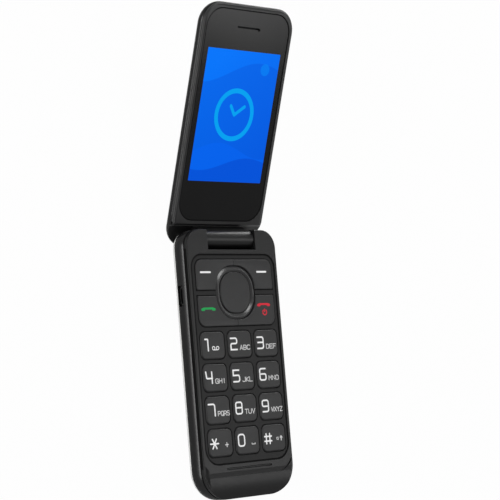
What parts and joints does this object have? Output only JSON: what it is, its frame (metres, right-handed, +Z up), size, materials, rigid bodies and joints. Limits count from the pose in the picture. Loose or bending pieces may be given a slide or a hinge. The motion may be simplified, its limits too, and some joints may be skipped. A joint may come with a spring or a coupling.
{
  "type": "flip phone",
  "caption": "Clamshell mobile phone lying open, with a twelve-key pad, a four-way rocker ring and a tall portrait display in the lid.",
  "frame": {"origin": "middle of the open phone's length and width, on the surface that it lies on", "axes": "+X to the right of someone who reads the display, along the hinge; +Y from the keypad towards the display; +Z up"},
  "size_m": [0.053, 0.2068, 0.0436],
  "materials": {
    "black_shell": "fine matt texture",
    "black_satin": "satin",
    "keycap": "satin",
    "white_shell": "glossy",
    "window": "clear coat over black print",
    "display": "lit picture",
    "battery": "matt label",
    "board": "solder mask",
    "steel": "plain",
    "gold": "gold plated",
    "silicone": "matt",
    "capsule": "matt",
    "mesh": "fine black mesh",
    "flex": "polyimide film",
    "lens": "glossy"
  },
  "bodies": {
    "base": {"base_front_cover": "black_shell", "base_frame": "black_shell", "battery_cover": "white_shell", "battery": "battery", "battery_contacts": "gold", "main_board": "board", "shield_cans": "steel", "dome_sheet": "steel", "key_mat": "silicone", "keypad_plate": "black_satin", "microphone": "steel", "loudspeaker": "capsule", "vibration_motor": "steel", "usb_port": "steel", "sim_socket": "steel", "base_screws": "steel", "hinge_pin": "steel", "hinge_bush": "steel"},
    "lid": {"lid_housing": "black_shell", "lid_front_frame": "black_shell", "lid_cover": "white_shell", "display_window": "window", "lcd_module": "display", "lid_board": "board", "earpiece": "capsule", "earpiece_mesh": "mesh", "camera_module": "capsule", "camera_window": "lens", "lid_magnet": "steel", "lid_screws": "steel", "hinge_cartridge": "steel", "hinge_spring": "steel", "hinge_flex": "flex"},
    "key_1": {"key_1": "keycap"},
    "key_2": {"key_2": "keycap"},
    "key_3": {"key_3": "keycap"},
    "key_4": {"key_4": "keycap"},
    "key_5": {"key_5": "keycap"},
    "key_6": {"key_6": "keycap"},
    "key_7": {"key_7": "keycap"},
    "key_8": {"key_8": "keycap"},
    "key_9": {"key_9": "keycap"},
    "key_star": {"key_star": "keycap"},
    "key_0": {"key_0": "keycap"},
    "key_hash": {"key_hash": "keycap"},
    "softkey_left": {"softkey_left": "keycap"},
    "softkey_right": {"softkey_right": "keycap"},
    "send_key": {"send_key": "keycap"},
    "end_key": {"end_key": "keycap"},
    "nav_ring": {"nav_ring": "keycap"},
    "nav_pivot": {"nav_pivot": "steel"},
    "ok_key": {"ok_key": "keycap"}
  },
  "joints": [
    {"name": "lid_hinge", "type": "hinge", "parent": "base", "child": "lid", "pos_m": [0, 0.0071, 0.01103], "axis": [1, 0, 0], "range_deg": [0, 160.3]},
    {"name": "key_1_press", "type": "slide", "parent": "base", "child": "key_1", "axis": [0, -0.0375, 0.9993], "range_m": [-0.00025, 0], "stiffness_N_per_m": 600, "springref_m": 0.0003},
    {"name": "key_2_press", "type": "slide", "parent": "base", "child": "key_2", "axis": [0, -0.0375, 0.9993], "range_m": [-0.00025, 0], "stiffness_N_per_m": 600, "springref_m": 0.0003},
    {"name": "key_3_press", "type": "slide", "parent": "base", "child": "key_3", "axis": [0, -0.0375, 0.9993], "range_m": [-0.00025, 0], "stiffness_N_per_m": 600, "springref_m": 0.0003},
    {"name": "key_4_press", "type": "slide", "parent": "base", "child": "key_4", "axis": [0, -0.0375, 0.9993], "range_m": [-0.00025, 0], "stiffness_N_per_m": 600, "springref_m": 0.0003},
    {"name": "key_5_press", "type": "slide", "parent": "base", "child": "key_5", "axis": [0, -0.0375, 0.9993], "range_m": [-0.00025, 0], "stiffness_N_per_m": 600, "springref_m": 0.0003},
    {"name": "key_6_press", "type": "slide", "parent": "base", "child": "key_6", "axis": [0, -0.0375, 0.9993], "range_m": [-0.00025, 0], "stiffness_N_per_m": 600, "springref_m": 0.0003},
    {"name": "key_7_press", "type": "slide", "parent": "base", "child": "key_7", "axis": [0, -0.0375, 0.9993], "range_m": [-0.00025, 0], "stiffness_N_per_m": 600, "springref_m": 0.0003},
    {"name": "key_8_press", "type": "slide", "parent": "base", "child": "key_8", "axis": [0, -0.0375, 0.9993], "range_m": [-0.00025, 0], "stiffness_N_per_m": 600, "springref_m": 0.0003},
    {"name": "key_9_press", "type": "slide", "parent": "base", "child": "key_9", "axis": [0, -0.0375, 0.9993], "range_m": [-0.00025, 0], "stiffness_N_per_m": 600, "springref_m": 0.0003},
    {"name": "key_star_press", "type": "slide", "parent": "base", "child": "key_star", "axis": [0, -0.0375, 0.9993], "range_m": [-0.00025, 0], "stiffness_N_per_m": 600, "springref_m": 0.0003},
    {"name": "key_0_press", "type": "slide", "parent": "base", "child": "key_0", "axis": [0, -0.0375, 0.9993], "range_m": [-0.00025, 0], "stiffness_N_per_m": 600, "springref_m": 0.0003},
    {"name": "key_hash_press", "type": "slide", "parent": "base", "child": "key_hash", "axis": [0, -0.0375, 0.9993], "range_m": [-0.00025, 0], "stiffness_N_per_m": 600, "springref_m": 0.0003},
    {"name": "softkey_left_press", "type": "slide", "parent": "base", "child": "softkey_left", "axis": [0, -0.0375, 0.9993], "range_m": [-0.00025, 0], "stiffness_N_per_m": 600, "springref_m": 0.0003},
    {"name": "softkey_right_press", "type": "slide", "parent": "base", "child": "softkey_right", "axis": [0, -0.0375, 0.9993], "range_m": [-0.00025, 0], "stiffness_N_per_m": 600, "springref_m": 0.0003},
    {"name": "send_key_press", "type": "slide", "parent": "base", "child": "send_key", "axis": [0, -0.0375, 0.9993], "range_m": [-0.00025, 0], "stiffness_N_per_m": 600, "springref_m": 0.0003},
    {"name": "end_key_press", "type": "slide", "parent": "base", "child": "end_key", "axis": [0, -0.0375, 0.9993], "range_m": [-0.00025, 0], "stiffness_N_per_m": 600, "springref_m": 0.0003},
    {"name": "ok_key_press", "type": "slide", "parent": "base", "child": "ok_key", "axis": [0, -0.0375, 0.9993], "range_m": [-0.00025, 0], "stiffness_N_per_m": 600, "springref_m": 0.0003},
    {"name": "nav_tilt_left_right", "type": "hinge", "parent": "base", "child": "nav_pivot", "pos_m": [0, -0.01637, 0.01235], "axis": [0, 0.9993, 0.0375], "range_deg": [-1.13, 1.13], "stiffness_Nm_per_rad": 0.06},
    {"name": "nav_tilt_up_down", "type": "hinge", "parent": "nav_pivot", "child": "nav_ring", "pos_m": [0, -0.01639, 0.01295], "axis": [1, 0, 0], "range_deg": [-1.13, 1.13], "stiffness_Nm_per_rad": 0.06}
  ]
}
